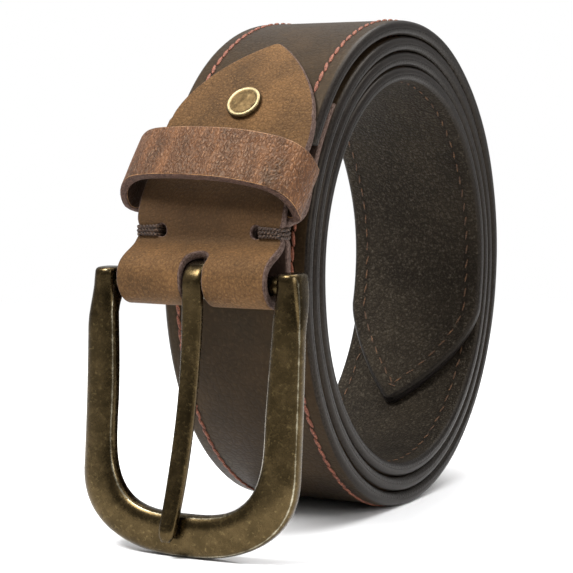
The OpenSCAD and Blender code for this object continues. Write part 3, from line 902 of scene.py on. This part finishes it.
def tubLine(half, low, high, power, straight, curved):
    line = [Vector((half, frameTop + (low + high - frameTop) * i / straight)) for i in range(straight)]
    for p in line:  # narrower shoulders
        if half > buckle["window"] / 2:
            p.x -= buckle["shoulder"] * ease((p.y - frameTop + 13) / 13)
        else:
            p.x -= buckle["taper"] * ease((frameTop - p.y) / 32)
    foot = half if half > buckle["window"] / 2 else half - buckle["taper"]
    for k in range(curved + 1):
        a = math.radians(90 - 90 * k / curved)
        line.append(Vector((foot * math.sin(a) ** (2 / power) if k < curved else 0.0,
                            low + high * (1 - max(math.cos(a), 0) ** (2 / power)))))
    return line + [Vector((-p.x, p.y)) for p in reversed(line[:-1])]


def dSection(inner, outer, yFront, yBack, shrink, count=36):
    ring, worn = [], []
    middle, yMiddle = (inner + outer) / 2, (yFront * 0.42 + yBack * 0.58)
    for k in range(count):
        t = 2 * math.pi * k / count
        c, s = math.cos(t), math.sin(t)
        power = 0.74 if s < 0 else 0.5
        across = math.copysign(abs(c) ** power, c) * shrink
        deep = math.copysign(abs(s) ** power, s) * shrink
        p = middle + (outer - middle) * across
        y = yMiddle + (yMiddle - yFront) * deep if s < 0 else yMiddle + (yBack - yMiddle) * deep
        ring.append(Vector((p.x, y, p.y)))
        worn.append(0.6 * math.exp(-((abs(c) - 0.86) / 0.1) ** 2) if s < 0.2 else 0.1)
    return ring, worn


outerLine = tubLine(buckle["outer"] / 2, 0.0, buckle["cornerHigh"], buckle["cornerPower"], 20, 26)
innerLine = tubLine(buckle["window"] / 2, buckle["toe"], buckle["windowHigh"],
                    buckle["windowPower"], 20, 26)
rings, wornRows = [], []
count = len(outerLine)
for i, (o, p) in enumerate(zip(outerLine, innerLine)):
    endStep = min(i, count - 1 - i)
    z = (o.y + p.y) / 2
    swell = ease((z - hinge.z + 9) / 9)
    yFront = frameMiddle(z) - buckle["thick"] / 2 + 0.5 * swell
    yBack = frameMiddle(z) + buckle["thick"] / 2
    yBack += swell * (hinge.y + buckle["ear"] - yBack)
    if endStep == 0:  # rounded tops on both ears
        for drop, shrink in ((0.0, 0.62), (0.12, 0.8), (0.4, 0.92), (0.9, 0.98)):
            shift = Vector((0, -drop))
            ring, worn = dSection(p + shift, o + shift, yFront, yBack, shrink)
            rings.append(ring)
            wornRows.append([0.4] * len(worn))
        if i:
            rings[-4:], wornRows[-4:] = rings[-4:][::-1], wornRows[-4:][::-1]
        continue
    ring, worn = dSection(p, o, yFront, yBack, 1.0)
    rings.append(ring)
    wornRows.append(worn)
frameVerts, frameFaces = loft(rings)
wornFlat = [w for row in wornRows for w in row] + [0.4, 0.4]
barRings = []
for k in range(31):
    x = -buckle["window"] / 2 - 1.6 + (buckle["window"] + 3.2) * k / 30
    middle = Vector((x, hinge.y, hinge.z))
    barRings.append([middle + buckle["barRadius"] * around(360 * j / 32) for j in range(32)])
barVerts, barFaces = loft(barRings)
verts, faces = joinParts([(frameVerts, frameFaces), (barVerts, barFaces)])
buckleFrame = makeObject("buckleFrame", verts, faces, antiqueBrass,
                         {"worn": wornFlat + [0.2] * len(barVerts)})


def prongSection(middle, along, side, width, thick, shrink, count=28):
    out = side.cross(along).normalized()  # away from the strap
    ring, worn = [], []
    for k in range(count):
        t = 2 * math.pi * k / count
        c, s = math.cos(t), math.sin(t)
        power = 0.8 if s > 0 else 0.55
        across = math.copysign(abs(c) ** power, c) * width / 2 * shrink
        deep = math.copysign(abs(s) ** power, s) * thick / 2 * shrink
        ring.append(middle + side * across + out * deep)
        worn.append(0.7 * math.exp(-((abs(c) - 0.85) / 0.13) ** 2) if s > -0.1 else 0.1)
    return ring, worn


def prongPath():
    eye = buckle["barRadius"] + prong["clear"] + (prong["thick"] + 0.2) / 2
    path = []
    for a in range(-60, 181, 12):
        path.append(Vector((prong["offset"], hinge.y, hinge.z)) + eye * around(a))
    for i in range(1, 46):
        t = i / 45
        z = hinge.z + (prong["tip"] - hinge.z) * t
        path.append(Vector((prong["offset"] - t ** 2 * prong["lean"],
                            hinge.y - eye - prong["reach"] * t ** 2, z)))
    return path


path = prongPath()
rings, wornRows = [], []
for i, p in enumerate(path):
    along = (path[min(i + 1, len(path) - 1)] - path[max(i - 1, 0)]).normalized()
    share = i / (len(path) - 1)
    width = prong["width"] * (1.12 - 0.12 * ease((share - 0.3) / 0.3))
    width *= 1 - 0.08 * ease((share - 0.8) / 0.2)
    fromEnd = min(i, len(path) - 1 - i)
    shrink = (0.45, 0.85, 0.97, 1.0)[min(fromEnd, 3)]
    ring, worn = prongSection(p, along, Vector((1, 0, 0)), width, prong["thick"], shrink)
    rings.append(ring)
    wornRows.append(worn)
verts, faces = loft(rings)
prongPiece = makeObject("prongTongue", verts, faces, antiqueBrass,
                        {"worn": [w for row in wornRows for w in row] + [0.6, 0.6]})


def outwardFaces(obj):  # turns a closed shell's faces out
    shell = bmesh.new()
    shell.from_mesh(obj.data)
    bmesh.ops.recalc_face_normals(shell, faces=shell.faces)
    shell.to_mesh(obj.data)
    shell.free()


for piece in (buckleFrame, prongPiece, rivetCap):
    outwardFaces(piece)
for piece, body, node in ((buckleFrame, "buckle", "buckle_frame"), (prongPiece, "tongue", "prong")):
    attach(piece, body)
    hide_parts(node)
print("buckle made")

# floor, light and camera

studio = {"azimuth": 28.37, "elevation": 4.45, "distance": 0.46486, "lens": 114.5529,
          "target": (-12.72, coil["back"] - 7.12, 54.25)}

floorMesh = bpy.data.meshes.new("floor")
floorMesh.from_pydata([(-6, -6, 0), (6, -6, 0), (6, 6, 0), (-6, 6, 0)], [], [(0, 1, 2, 3)])
floor = bpy.data.objects.new("floor", floorMesh)
bpy.context.scene.collection.objects.link(floor)
paper = Recipe(bpy.data.materials.new("paleFloor"))
paperShade = paper.finish({"Base Color": (0.93, 0.93, 0.935, 1), "Roughness": 0.6,
                           "Specular IOR Level": 0.2})
onFloor = paper.add("ShaderNodeTexCoord", {}, {}, "Object")
farOff = paper.add("ShaderNodeVectorMath", {"operation": "LENGTH"}, {0: onFloor}, "Value").soft(0.16, 0.62)
glow = paper.add("ShaderNodeEmission", {}, {"Color": (1, 1, 1, 1), "Strength": 1.0})
blend = paper.add("ShaderNodeMixShader", {}, {0: farOff, 1: paper.plainly(), 2: glow})
paper.links.new(blend.socket, paper.nodes["Material Output"].inputs["Surface"])
floorMesh.materials.append(paperShade)

world = bpy.data.worlds.new("studio")
bpy.context.scene.world = world
sky = Recipe(world, "Background")
direction = sky.add("ShaderNodeTexCoord", {}, {}, "Generated")
above, behind = sky.part(direction, "Z").soft(0.0, 0.9), sky.part(direction, "Y").soft(-0.2, 0.8)
fromLeft = (0 - sky.part(direction, "X")).soft(0.1, 0.9)
glowing = 0.06 + above * 0.4 + behind * 0.3 + fromLeft * 0.25
sky.fill(sky.shader, {"Color": (1, 1, 1, 1), "Strength": glowing})
whiteSky = sky.add("ShaderNodeBackground", {}, {"Color": (1, 1, 1, 1), "Strength": 1.0})
seen = sky.add("ShaderNodeLightPath", {}, {}, "Is Camera Ray")
both = sky.add("ShaderNodeMixShader", {}, {0: seen, 1: sky.plainly(), 2: whiteSky})
sky.links.new(both.socket, sky.nodes["World Output"].inputs["Surface"])

softboxes = {
    "keyBox": {"at": (-0.3, -0.62, 1.0), "size": 0.45, "power": 19.5},
    "topBox": {"at": (0.15, 0.25, 1.0), "size": 0.8, "power": 11.5},
    "rightBox": {"at": (0.85, -0.25, 0.45), "size": 0.5, "power": 3.6},
}
for name, box in softboxes.items():
    light = bpy.data.lights.new(name, "AREA")
    light.size, light.energy = box["size"], box["power"]
    lamp = bpy.data.objects.new(name, light)
    lamp.location = box["at"]
    lamp.rotation_euler = (Vector((0, 0, 0.06)) - Vector(box["at"])).to_track_quat("-Z", "Y").to_euler()
    bpy.context.scene.collection.objects.link(lamp)

cameraData = bpy.data.cameras.new("camera")
cameraData.sensor_width = 36.0
cameraData.lens = studio["lens"]
cameraData.clip_start, cameraData.clip_end = 0.01, 50
camera = bpy.data.objects.new("camera", cameraData)
az, el = math.radians(studio["azimuth"]), math.radians(studio["elevation"])
away = Vector((math.sin(az) * math.cos(el), -math.cos(az) * math.cos(el), math.sin(el)))
camera.location = Vector(studio["target"]) * mm + away * studio["distance"]
camera.rotation_euler = (-away).to_track_quat("-Z", "Y").to_euler()
bpy.context.scene.collection.objects.link(camera)
bpy.context.scene.camera = camera
bpy.context.scene.view_settings.view_transform = "Standard"

print("stage set")
